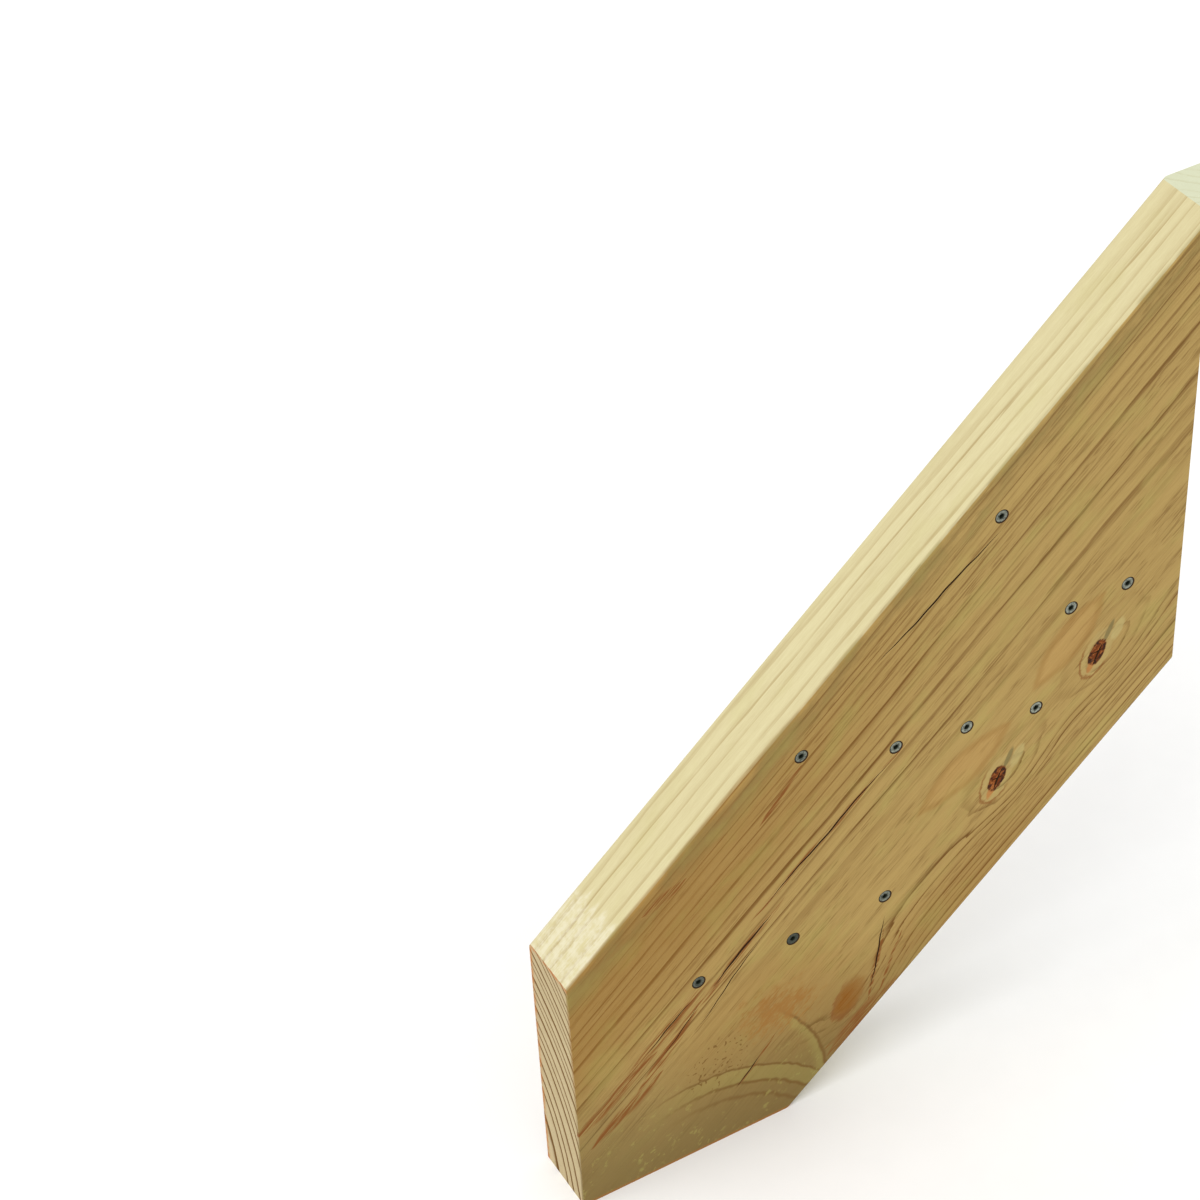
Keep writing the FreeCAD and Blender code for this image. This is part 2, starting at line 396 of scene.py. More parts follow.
@dataclass(frozen=True)
class Swirl:
    """An oval place on the outer face where the growth rings bulge, as they do beside a branch.

    Its middle and half sizes are in millimetres, its lean is the turn of its length towards the lower edge
    and its lift is how far it carries the rings outward.
    """

    along: float
    inset: float
    length: float
    width: float
    lean: float
    lift: float = 0.0

    def scaled(self, length: float, width: float) -> "Swirl":
        """The same oval with its half sizes multiplied."""
        return replace(self, length=self.length * length, width=self.width * width)

    def moved(self, along: float, inset: float, length: float, width: float) -> "Swirl":
        """An oval of another size at a place counted from this one's middle."""
        return replace(self, along=self.along + along, inset=self.inset + inset, length=length, width=width)

    def parts(self, along: Number, inset: Number) -> tuple[Number, Number]:
        """Distances from the middle in the leaning oval's own directions.

        Args:
            along: Place along the plank.
            inset: Place in from the upper edge.

        Returns:
            The distances along and across the oval, as shares of its half sizes.
        """
        cosine, sine = math.cos(self.lean), math.sin(self.lean)
        ahead = (along - self.along) * (cosine / self.length) + (inset - self.inset) * (sine / self.length)
        aside = (inset - self.inset) * (cosine / self.width) - (along - self.along) * (sine / self.width)
        return ahead, aside

    def spread(self, along: Number, inset: Number) -> Number:
        """Squared distance from the middle, 1 on the oval: p² + q², with p along it and q across."""
        ahead, aside = self.parts(along, inset)
        return ahead * ahead + aside * aside

    def leaf(self, along: Number, inset: Number) -> Number:
        """The same for a leaf with two tips: p² + |q|, which is 1 on two parabolas that meet."""
        ahead, aside = self.parts(along, inset)
        return ahead * ahead + np.absolute(aside)


@dataclass(frozen=True)
class Streak:
    """A narrow mark on the outer face between two places, each along the plank and in from its upper edge.

    WAVES gives the pace in radians and the reach in millimetres of the two waves that it drifts by.
    """

    WAVES = ((0.11, 0.5), (0.37, 0.18))
    CLOSED = 1e-4

    start: tuple[float, float]
    end: tuple[float, float]
    half_width: float

    @property
    def length(self) -> float:
        """Straight distance between the two places."""
        return math.dist(self.start, self.end)

    def wave(self, ahead: Number) -> Number:
        """Sideways drift at a distance from the start: a slow wave and a quicker, smaller one."""
        (slow, wide), (quick, narrow) = self.WAVES
        return np.sin(ahead * slow + self.start[1]) * wide + np.sin(ahead * quick + self.end[0]) * narrow

    def openness(self, along: Number, inset: Number) -> Number:
        """How strong the mark is at a place.

        The mark is a straight line with a wave laid on it, widest in the middle and closed at both ends:
        1 - |q| / w, where q is the distance from the waved line and w falls off with the square of the
        distance from the middle.

        Args:
            along: Place along the plank.
            inset: Place in from the upper edge.

        Returns:
            1 on its line, falling to 0 at its sides.
        """
        run = (self.end[0] - self.start[0]) / self.length
        fall = (self.end[1] - self.start[1]) / self.length
        ahead = along * run + (inset * fall - self.start[0] * run - self.start[1] * fall)
        aside = inset * run - (along * fall + (self.start[1] * run - self.start[0] * fall))
        middle = ahead * (2.0 / self.length) - 1.0
        width = np.maximum(1.0 - middle * middle, 0.0) * self.half_width + self.CLOSED
        return np.maximum(1.0 - np.absolute(aside - self.wave(ahead)) / width, 0.0)


@dataclass(frozen=True)
class Check(Streak):
    """A drying crack: a streak that is open to a depth."""

    depth: float = 1.2
    clear: float = 0.5
    stations: int = 65

    def cutter(self, axes: PlankAxes) -> bpy.types.Object:
        """The space in the crack, as a slim boat that floats in the outer face.

        Its section is a V from two gunwales clear of the face to a keel in the wood, carried along the waved
        line. With m from -1 at one end to 1 at the other, the half breadth is w (1 - m²) and the keel lies
        d (1 - m²) deep less c m², so that both ends run out of the wood as points.

        Args:
            axes: The plank's axes.

        Returns:
            A closed object.
        """
        middle = np.linspace(-1.0, 1.0, self.stations)[:, None]
        fullness = 1.0 - middle * middle
        ahead = (middle + 1.0) / 2.0 * self.length
        side = np.array([[-1.0, 0.0, 1.0, -1.0]])
        keel = np.array([[0.0, 1.0, 0.0, 0.0]])
        across = self.wave(ahead) + side * fullness * self.half_width
        deep = keel * fullness * (self.depth + self.clear) - self.clear
        run = (self.end[0] - self.start[0]) / self.length
        fall = (self.end[1] - self.start[1]) / self.length
        along = self.start[0] + ahead * run - across * fall
        inset = self.start[1] + ahead * fall + across * run
        return grid_object("check", [axes.points(along, inset, deep - axes.thickness / 2)])


@dataclass(frozen=True)
class Grain:
    """The tree in the plank: rings about a pith beyond the inner face, knots, stains and drying cracks.

    Lifts of its swirls are in years of growth. The slivers and the flame of a knot are given as along,
    inset, length and width from its middle, its collar as factors of its length and width, and the lines
    of the arcs as their spread, half width and strength.
    """

    axes: PlankAxes = PlankAxes()
    pith_inset: float = 160.0
    pith_through: float = 90.0
    growth: float = 1750.0
    crowd_inset: float = 174.0
    crowd_growth: float = 800.0
    phase: float = 0.97
    sway: float = 2.0
    sway_pace: float = 0.0067
    sway_start: float = 0.6
    uneven: float = 0.16
    uneven_pace: float = 1.9
    weaker: float = 0.25
    weaker_pace: float = 2.39
    early_gain: float = 0.2
    darkens: Ramp = Ramp(0.50, 0.95)
    year_ends: Ramp = Ramp(1.0, 0.96)
    knots: tuple[Swirl, ...] = (
        Swirl(232.2, 181.6, 8.8, 5.4, -0.45),
        Swirl(328.0, 176.3, 8.8, 5.4, -0.45),
    )
    collar: tuple[float, ...] = (2.1, 1.95)
    pale_sliver: tuple[float, ...] = (18.5, 0.5, 9.5, 4.2)
    grey_sliver: tuple[float, ...] = (14.5, -4.8, 8.5, 2.0)
    flame: tuple[float, ...] = (-9.5, 4.0, 5.5, 2.6)
    eyes: tuple[Swirl, ...] = (
        Swirl(227.0, 150.5, 36.0, 11.5, 0.13),
        Swirl(324.0, 148.5, 33.0, 11.0, -0.12),
    )
    swirls: tuple[Swirl, ...] = (
        Swirl(238.0, 190.0, 34.0, 20.0, -0.10, 2.3),
        Swirl(333.0, 185.0, 34.0, 20.0, -0.10, 2.3),
        Swirl(64.0, 228.0, 46.0, 30.0, -0.45, 3.4),
    )
    patch: Swirl = Swirl(68.5, 211.0, 17.0, 9.5, -0.35)
    fuzz: Swirl = Swirl(42.0, 163.0, 25.0, 20.0, 0.9)
    specks: Swirl = Swirl(-5.0, 154.0, 26.0, 22.0, 0.0)
    blush: Swirl = Swirl(25.0, 168.0, 80.0, 62.0, 0.0)
    arcs: Swirl = Swirl(-87.0, 240.0, 91.0, 100.0, 0.0)
    arc_lines: tuple[tuple[float, ...], ...] = ((1.0, 0.05, 1.0), (1.3, 0.04, 1.0), (0.78, 0.05, 0.7))
    crescent: Swirl = Swirl(-17.0, 175.0, 59.0, 84.0, 0.0)
    checks: tuple[Check, ...] = (
        Check((362.0, 34.0), (246.0, 25.0), 0.95, 1.8),
        Check((218.0, 91.5), (88.0, 88.5), 0.9, 1.8),
        Check((99.0, 98.0), (34.0, 101.0), 1.1, 1.8),
        Check((86.0, 104.5), (6.0, 116.0), 0.6),
        Check((30.0, 93.4), (-22.0, 93.8), 0.7),
        Check((29.0, 101.5), (-19.0, 107.5), 0.5),
        Check((-18.0, 183.0), (14.0, 180.4), 0.7),
        Check((129.0, 182.0), (75.0, 225.5), 0.75, 1.3),
        Check((224.0, 187.2), (239.5, 178.4), 1.0, 1.6),
        Check((319.8, 181.9), (335.3, 173.1), 1.0, 1.6),
        Check((228.0, 177.6), (237.5, 185.6), 0.7, 1.2),
        Check((323.8, 172.3), (333.3, 180.3), 0.7, 1.2),
    )
    stains: tuple[Streak, ...] = (
        Streak((118.0, 192.0), (70.0, 230.0), 2.4),
        Streak((42.0, 93.4), (-40.0, 93.8), 5.5),
        Streak((30.0, 101.0), (-44.0, 112.0), 5.0),
        Streak((108.0, 97.8), (14.0, 103.0), 4.2),
        Streak((-12.0, 99.0), (-90.0, 94.0), 6.5),
        Streak((-22.0, 116.0), (-88.0, 112.0), 6.0),
        Streak((96.0, 236.0), (26.0, 234.0), 10.0),
        Streak((226.0, 91.6), (82.0, 88.4), 2.6),
        Streak((182.0, 31.5), (134.0, 38.5), 3.4),
        Streak((92.0, 17.0), (58.0, 9.5), 5.0),
        Streak((30.0, 177.8), (-24.0, 185.2), 1.5),
        Streak((72.0, 234.0), (30.0, 227.5), 3.2),
        Streak((124.0, 207.0), (76.0, 233.0), 1.5),
    )

    def seen_from_pith(self, inset: Number, through: Number) -> Number:
        """Inset at which the line from the pith through a place leaves the outer face.

        Branches grow out from the pith, so a knot is a cone that narrows towards it.

        Args:
            inset: Place in from the upper edge.
            through: Place through the plank.

        Returns:
            The inset on the outer face.
        """
        reach = self.pith_through + self.axes.thickness / 2
        return self.pith_inset + (inset - self.pith_inset) * reach / (self.pith_through - through)

    def year(self, along: Number, inset: Number, through: Number) -> Number:
        """The tree's age when the wood of a place grew.

        Every year adds the same area of wood, so the age is the squared distance from the pith over that
        area, and the rings thin outwards. Below the crowd inset c the tree grew more slowly, which adds the
        square of the distance past c over a second area. The pith sways along the plank, and each swirl
        takes its lift off the age as a bell curve, so that the rings run round it.

        Args:
            along: Place along the plank.
            inset: Place in from the upper edge.
            through: Place through the plank.

        Returns:
            The age in years.
        """
        across = inset - self.pith_inset - np.sin(along * self.sway_pace + self.sway_start) * self.sway
        deep = through - self.pith_through
        crowd = np.maximum(inset - self.crowd_inset, 0.0)
        year = (across * across + deep * deep) / self.growth + crowd * crowd / self.crowd_growth + self.phase
        outward = self.seen_from_pith(inset, through)
        for swirl in self.swirls:
            year = year - np.exp(swirl.spread(along, outward) * -1.0) * swirl.lift
        return year

    def late_wood(self, year: Number) -> Number:
        """How dense and dark the wood is: it rises through each year and drops at the year's end.

        Args:
            year: The tree's age.

        Returns:
            0 in early wood and up to 1 in late wood, with some years stronger than others.
        """
        year = year + np.sin(year * self.uneven_pace) * self.uneven
        number = np.floor(year)
        share = year - number
        gain = self.darkens.at(share)
        rise = gain * self.early_gain + gain * gain * gain * (1.0 - self.early_gain)
        rise = rise * self.year_ends.at(share)
        return rise * (np.sin(number * self.weaker_pace) * self.weaker + (1.0 - self.weaker))

    def stained(self, along: Number, inset: Number) -> Number:
        """The strongest of the stains at a place of the outer face.

        Args:
            along: Place along the plank.
            inset: Place in from the upper edge.

        Returns:
            How strong it is, from 0 to 1.
        """
        strongest = self.stains[0].openness(along, inset)
        for mark in self.stains[1:]:
            strongest = np.maximum(strongest, mark.openness(along, inset))
        return strongest


@dataclass(frozen=True)
class Tone:
    """Colours of one kind of surface: early wood, late wood, and how much the rings and the fibres show."""

    early: Colour
    late: Colour
    rings: float
    fibres: float


class Cut(Enum):
    """The kinds of surface on the plank, with the colours that each has."""

    FACE = Tone((0.462, 0.312, 0.104), (0.160, 0.070, 0.012), 1.05, 0.56)
    EDGE = Tone((0.625, 0.560, 0.322), (0.300, 0.190, 0.060), 0.50, 0.50)
    PLUMB = Tone((0.530, 0.430, 0.245), (0.140, 0.064, 0.007), 2.10, 0.26)
    LEVEL = Tone((0.640, 0.665, 0.480), (0.480, 0.450, 0.260), 0.40, 0.30)


@dataclass(frozen=True)
class Zones:
    """Where the tones, marks and painted shade of the plank begin and where they are full, in millimetres.

    The last word of a name is what the ramp is read along: the plank, the inset from its upper edge, the way
    through it, the height above its foot, or the way ahead of a knot.
    """

    outer_through: Ramp = Ramp(-19.5, -21.5)
    pit_through: Ramp = Ramp(-16.0, -18.0)
    pit_inset: Ramp = Ramp(3.5, 4.5)
    hook_height: Ramp = Ramp(500.0, 540.0)
    calm_inset: Ramp = Ramp(112.0, 134.0)
    calm_along: Ramp = Ramp(48.0, 12.0)
    plain_inset: Ramp = Ramp(110.0, 121.0)
    plain_end_inset: Ramp = Ramp(190.0, 176.0)
    crisp_inset: Ramp = Ramp(190.0, 206.0)
    faint_along: Ramp = Ramp(170.0, 330.0)
    bared_along: Ramp = Ramp(46.0, 38.0)
    upper_inset: Ramp = Ramp(108.0, 40.0)
    upper_along: Ramp = Ramp(370.0, 40.0)
    lower_inset: Ramp = Ramp(185.0, 228.0)
    lower_along: Ramp = Ramp(300.0, 160.0)
    strip_inset: Ramp = Ramp(26.0, 6.0)
    ground_height: Ramp = Ramp(125.0, 5.0)
    arris_height: Ramp = Ramp(2.6, 0.8)
    arcs_along: Ramp = Ramp(-70.0, -10.0)
    crescent_inset: Ramp = Ramp(160.0, 182.0)
    crescent_along: Ramp = Ramp(0.0, 20.0)
    patch_along: Ramp = Ramp(84.0, 58.0)
    rim_along: Ramp = Ramp(88.0, 56.0)
    outline_ahead: Ramp = Ramp(6.0, -8.0)
    border_through: Ramp = Ramp(18.5, 21.5)
    border_inset: Ramp = Ramp(3.2, 0.8)


@dataclass(frozen=True)
class Spot:
    """What the finish knows of the point that is shaded, as signals of one graph.

    Lengths are in millimetres. Outer, edge and plumb are 1 on the outer face, on the long edges and on the
    plumb cuts; the mask of painted shade is 1 on the walls inside the small pits and checks of the outer
    face.
    Level is 1 on the hook's top and faint on the other level cuts. The ramps are read along how squarely the
    surface faces a direction.
    """

    SQUARE = Ramp(0.93, 0.97)
    SLOPING = Ramp(0.66, 0.76)
    TILTED = Ramp(0.985, 0.93)
    NOT_A_CUT = Ramp(0.05, 0.2)

    graph: Graph
    along: Signal
    inset: Signal
    through: Signal
    height: Signal
    outer: Signal
    upward: Signal
    edge: Signal
    plumb: Signal
    level: Signal
    pit: Signal
    fine: Signal
    broad: Signal

    @classmethod
    def of(cls, graph: Graph, axes: PlankAxes, zones: Zones) -> "Spot":
        """Work out the signals.

        Args:
            graph: The graph to write them in.
            axes: The plank's axes.
            zones: Where the plank's zones are.

        Returns:
            The signals.
        """
        along, inset, through = axes.signals(graph)
        upward = graph.facing((-math.sin(axes.slope), 0.0, math.cos(axes.slope)))
        plumb = cls.SQUARE.at(np.absolute(graph.facing((1.0, 0.0, 0.0))))
        level = cls.SQUARE.at(np.absolute(graph.facing((0.0, 0.0, 1.0))))
        inside = zones.pit_inset.at(inset) * zones.pit_inset.at(axes.width - inset)
        inside = inside * zones.pit_through.at(through)
        outward = np.absolute(graph.facing((0.0, 1.0, 0.0)))
        height = graph.place(1 / MM)[2]
        return cls(
            graph=graph,
            along=along,
            inset=inset,
            through=through,
            height=height,
            outer=zones.outer_through.at(through),
            upward=upward,
            edge=cls.SLOPING.at(np.absolute(upward)),
            plumb=plumb,
            level=level * (zones.hook_height.at(height) * 0.8 + 0.2),
            # Painted shade goes on the tilted walls inside the pits and checks of the outer face.
            pit=inside * cls.TILTED.at(outward) * cls.NOT_A_CUT.at(outward),
            fine=graph.noise((along / 38.0, inset / 1.1, through / 1.1), 3.0, 0.65),
            broad=graph.noise((along / 170.0, inset / 7.0, through / 7.0), 2.0),
        )

    def noise(self, length: float, width: float, detail: float = 2.0) -> Signal:
        """Soft noise in spots of a length along the plank and a width across it."""
        return self.graph.noise((self.along / length, self.inset / width, self.through / width), detail, 0.6)


@dataclass(frozen=True)
class TimberFinish:
    """Treated pine, planed on its long faces and sawn across its ends."""

    grain: Grain = Grain()
    zones: Zones = Zones()
    roughness: float = 0.66
    roughness_spread: float = 0.25
    specular: float = 0.08
    relief: float = 0.55
    warm: Colour = (0.300, 0.150, 0.030)
    # Painted shade, under the upper edge and towards the ground.
    shade: Colour = (0.205, 0.140, 0.046)
    green: Colour = (0.430, 0.400, 0.110)
    dash: Colour = (0.170, 0.080, 0.018)
    orange: Colour = (0.530, 0.300, 0.095)
    rust: Colour = (0.340, 0.160, 0.036)
    knot_red: Colour = (0.165, 0.036, 0.004)
    knot_black: Colour = (0.022, 0.010, 0.006)
    knot_pale: Colour = (0.560, 0.480, 0.200)
    knot_grey: Colour = (0.200, 0.160, 0.060)
    resin_red: Colour = (0.230, 0.080, 0.016)
    patch_brown: Colour = (0.255, 0.092, 0.008)
    # Colour of the painted shade in the pits and checks of the outer face.
    pit_dark: Colour = (0.050, 0.024, 0.010)
    burnt: Colour = (0.480, 0.170, 0.040)
    scuff: Colour = (0.740, 0.700, 0.540)

    def material(self) -> bpy.types.Material:
        """Write the whole finish as one node graph.

        Returns:
            The material.
        """
        graph = Graph("treated_pine_finish")
        spot = Spot.of(graph, self.grain.axes, self.zones)
        colour = self.rings(spot)
        for layer in (self.weather_and_shade, self.foot, self.eyes, self.knots, self.stains):
            colour = layer(spot, colour)
        return graph.finish(
            # Painted shade on the walls of the pits and checks of the outer face.
            Base_Color=graph.blend(spot.pit, colour, self.pit_dark),
            Roughness=(spot.fine - 0.5) * self.roughness_spread + self.roughness,
            Specular_IOR_Level=self.specular,
            Normal=graph.relief(spot.fine * 0.3 + spot.broad * 0.4, self.relief),
        )

    def rings(self, spot: Spot) -> Socket:
        """Early and late wood in the colours of each kind of surface, streaked along the fibres.

        Args:
            spot: The point's signals.

        Returns:
            A colour socket.
        """
        graph, zones = spot.graph, self.zones
        tone = Cut.FACE.value
        colours = [tone.early, tone.late]
        rings, fibres = tone.rings, tone.fibres
        for share, cut in ((spot.edge, Cut.EDGE), (spot.plumb, Cut.PLUMB), (spot.level, Cut.LEVEL)):
            tone = cut.value
            colours = [graph.blend(share, old, new) for old, new in zip(colours, (tone.early, tone.late))]
            rings = rings + share * (tone.rings - rings)
            fibres = fibres + share * (tone.fibres - fibres)
        calm = zones.calm_inset.at(spot.inset) * zones.calm_along.at(spot.along) * spot.outer
        plain = zones.plain_inset.at(spot.inset) * zones.plain_end_inset.at(spot.inset) * spot.outer
        crisp = zones.crisp_inset.at(spot.inset) * spot.outer
        faint = zones.faint_along.at(spot.along) * spot.outer
        rings = rings * (1.0 - calm * 0.85) * (1.0 - plain * 0.6)
        rings = rings * (crisp * 0.25 + 1.0) * (1.0 - faint * 0.3)
        year = self.grain.year(spot.along, spot.inset, spot.through)
        year = year + ((spot.fine - 0.5) * 0.16 + (spot.broad - 0.5) * 0.8) * (1.0 - spot.plumb * 0.85)
        broken = smooth(spot.noise(90.0, 5.0), 0.22, 0.52) * (1.0 - spot.plumb) + spot.plumb
        late = self.grain.late_wood(year) * broken
        streak = (spot.fine - 0.5) * (1.0 - spot.edge * 0.75) + (spot.broad - 0.5) * 0.7
        pores = spot.noise(9.0, 0.8, 1.0) - 0.5
        colour = graph.blend(late * rings + (streak + pores * 0.5) * fibres + 0.10, *colours)
        dashes = smooth(spot.noise(17.0, 1.1, 1.0), 0.56, 0.66) * smooth(spot.broad, 0.38, 0.58) * spot.outer
        colour = graph.blend(dashes * 0.5, colour, self.dash)
        front = zones.bared_along.at(spot.along + (spot.broad - 0.5) * 60.0) * smooth(spot.upward, 0.8, 0.95)
        bared = front * smooth(spot.fine + spot.noise(5.0, 4.0), 0.75, 1.2)
        return graph.blend(bared * 0.55, colour, self.scuff)

    def weather_and_shade(self, spot: Spot, colour: Socket) -> Socket:
        """Brown along the upper and lower bands of the outer face, a strip of painted shade under its upper
        edge, and clouds of green from the treatment.

        Args:
            spot: The point's signals.
            colour: The colour so far.

        Returns:
            A colour socket.
        """
        graph, zones = spot.graph, self.zones
        cloud = spot.noise(58.0, 22.0, 4.0)
        upper = zones.upper_inset.at(spot.inset) * zones.upper_along.at(spot.along)
        lower = zones.lower_inset.at(spot.inset) * zones.lower_along.at(spot.along) * 0.6
        blush = smooth(self.grain.blush.spread(spot.along, spot.inset), 1.3, 0.2) * 0.45
        patchy = spot.outer * (cloud * 1.2 + 0.4)
        colour = graph.blend((upper + lower + blush) * patchy * 0.62, colour, self.warm)
        # Painted shade: a dark strip just under the upper edge, broken up by the clouds.
        strip = zones.strip_inset.at(spot.inset) * smooth(cloud, 0.38, 0.60) * spot.outer
        colour = graph.blend(strip * 0.5, colour, self.shade)
        tint = smooth(cloud, 0.48, 0.72) * spot.outer + spot.edge * smooth(cloud, 0.5, 0.7) * 0.4
        return graph.blend(tint * 0.28, colour, self.green)

    def foot(self, spot: Spot, colour: Socket) -> Socket:
        """Painted shade that darkens the outer face towards the ground, with a flame of arcs, a crescent
        above it, specks, flecks of green and a raw lower arris.

        Args:
            spot: The point's signals.
            colour: The colour so far.

        Returns:
            A colour socket.
        """
        graph, zones = spot.graph, self.zones
        # Painted shade: the outer face darkens towards the ground. The same ramp also gathers the green
        # flecks.
        low = zones.ground_height.at(spot.height) * spot.outer
        colour = graph.blend(low * 0.85, colour, self.shade)
        ripple = (spot.broad - 0.5) * 0.1 + (spot.fine - 0.5) * 0.03
        near = self.grain.arcs.spread(spot.along, spot.inset) + ripple
        shown = zones.arcs_along.at(spot.along) * spot.outer
        olive = smooth(near, 0.94, 1.02) * smooth(near, 1.34, 1.26)
        colour = graph.blend(olive * shown * 0.2, colour, self.green)
        lines = 0.0
        for place, half_width, strength in self.grain.arc_lines:
            line = smooth(np.absolute(near - place), half_width, 0.0) * strength
            lines = np.maximum(line, lines)
        colour = graph.blend(lines * shown * 0.8, colour, self.dash)
        bow = self.grain.crescent.spread(spot.along, spot.inset) + ripple
        seen = zones.crescent_inset.at(spot.inset) * zones.crescent_along.at(spot.along) * spot.outer
        hollow = smooth(bow, 0.72, 0.94) * smooth(bow, 1.0, 0.96)
        colour = graph.blend(hollow * seen * 0.25, colour, self.green)
        colour = graph.blend(smooth(np.absolute(bow - 1.0), 0.07, 0.0) * seen * 0.7, colour, self.dash)
        dots = spot.noise(2.6, 2.2, 0.0)
        pricked = smooth(self.grain.specks.spread(spot.along, spot.inset), 1.2, 0.5)
        pricked = pricked * smooth(dots, 0.66, 0.74) * spot.outer
        colour = graph.blend(pricked * 0.75, colour, self.dash)
        clusters = smooth(spot.noise(26.0, 16.0), 0.44, 0.58)
        flecks = smooth(spot.noise(5.0, 3.0, 2.0), 0.56, 0.68) * clusters * low
        colour = graph.blend(flecks * 0.40, colour, self.green)
        arris = zones.arris_height.at(spot.height) * spot.outer
        return graph.blend(arris * 0.45, colour, self.burnt)

    def eyes(self, spot: Spot, colour: Socket) -> Socket:
        """Orange leaves beside the branches, a brown oval and a mottled cloud.

        Args:
            spot: The point's signals.
            colour: The colour so far.

        Returns:
            A colour socket.
        """
        graph = spot.graph
        outward = self.grain.seen_from_pith(spot.inset, spot.through)
        ragged = spot.noise(7.0, 3.5, 3.0) - 0.5
        for eye in self.grain.eyes:
            near = eye.leaf(spot.along, outward) + ragged * 0.35 + (spot.fine - 0.5) * 0.25
            colour = graph.blend(smooth(near, 1.1, 0.6) * 0.36, colour, self.orange)
            colour = graph.blend(smooth(np.absolute(near - 1.0), 0.42, 0.02) * 0.42, colour, self.rust)
        near = self.grain.fuzz.spread(spot.along, spot.inset) + ragged * 5.0 + (spot.fine - 0.5) * 4.0
        colour = graph.blend(smooth(near, 1.6, -0.6) * spot.outer * 0.9, colour, self.rust)
        near = self.grain.patch.spread(spot.along, spot.inset) + ragged * 1.4 + (spot.fine - 0.5) * 1.2
        brown = smooth(near, 1.5, 0.2) * (self.zones.patch_along.at(spot.along) * 0.4 + 0.6)
        brown = brown * (spot.fine * 1.5 + 0.25) * spot.outer
        colour = graph.blend(brown * 0.95, colour, self.patch_brown)
        rim = smooth(np.absolute(near - 1.0), 0.45, 0.05) * self.zones.rim_along.at(spot.along) * spot.outer
        return graph.blend(rim * 0.6, colour, self.resin_red)

    def knots(self, spot: Spot, colour: Socket) -> Socket:
        """Knots with a pale collar, a grey and a pale sliver above, and a dark red, cracked core.

        Args:
            spot: The point's signals.
            colour: The colour so far.

        Returns:
            A colour socket.
        """
        graph = spot.graph
        outward = self.grain.seen_from_pith(spot.inset, spot.through)
        ragged = spot.noise(4.5, 3.2, 3.0) - 0.5
        for knot in self.grain.knots:
            ahead = spot.along - knot.along
            collar = knot.scaled(*self.grain.collar).spread(spot.along, outward) + ragged * 0.7
            colour = graph.blend(smooth(collar, 1.05, 0.75) * 0.2, colour, self.knot_pale)
            outline = smooth(np.absolute(collar - 1.0), 0.22, 0.03) * self.zones.outline_ahead.at(ahead)
            colour = graph.blend(outline * 0.65, colour, self.resin_red)
            sliver = knot.moved(*self.grain.pale_sliver).spread(spot.along, outward) + ragged * 0.8
            colour = graph.blend(smooth(sliver, 1.1, 0.4) * 0.45, colour, self.knot_pale)
            grey = knot.moved(*self.grain.grey_sliver).spread(spot.along, outward) + ragged * 0.8
            colour = graph.blend(smooth(grey, 1.2, 0.5) * 0.8, colour, self.knot_grey)
            core = knot.spread(spot.along, outward) + ragged * 1.2
            colour = graph.blend(smooth(core, 1.35, 0.95), colour, self.knot_red)
            lit = smooth(core, 1.0, 0.5) * smooth(ragged, -0.02, 0.1)
            colour = graph.blend(lit * 0.6, colour, self.burnt)
            flame = knot.moved(*self.grain.flame).spread(spot.along, outward) + ragged * 1.5
            colour = graph.blend(smooth(flame, 1.2, 0.3) * 0.7, colour, self.burnt)
            dark = smooth(np.absolute(core - 0.7), 0.55, 0.15) * smooth(ragged, 0.08, -0.03)
            colour = graph.blend(dark * 0.9, colour, self.knot_black)
        return colour

    def stains(self, spot: Spot, colour: Socket) -> Socket:
        """Red-brown stains beside the checks, and a red line at the inner edge of the plumb cuts.

        Args:
            spot: The point's signals.
            colour: The colour so far.

        Returns:
            A colour socket.
        """
        graph = spot.graph
        stained = self.grain.stained(spot.along, spot.inset) * spot.outer
        patchy = smooth(spot.noise(24.0, 1.3) + (spot.fine - 0.5) * 0.8, 0.34, 0.56)
        colour = graph.blend(patchy * np.minimum(stained * 1.7, 0.95), colour, self.resin_red)
        border = self.zones.border_through.at(spot.through)
        border = np.maximum(border, self.zones.border_inset.at(spot.inset))
        border = border * spot.plumb * smooth(spot.noise(5.0, 5.0), 0.3, 0.6)
        return graph.blend(border * 0.75, colour, self.burnt)


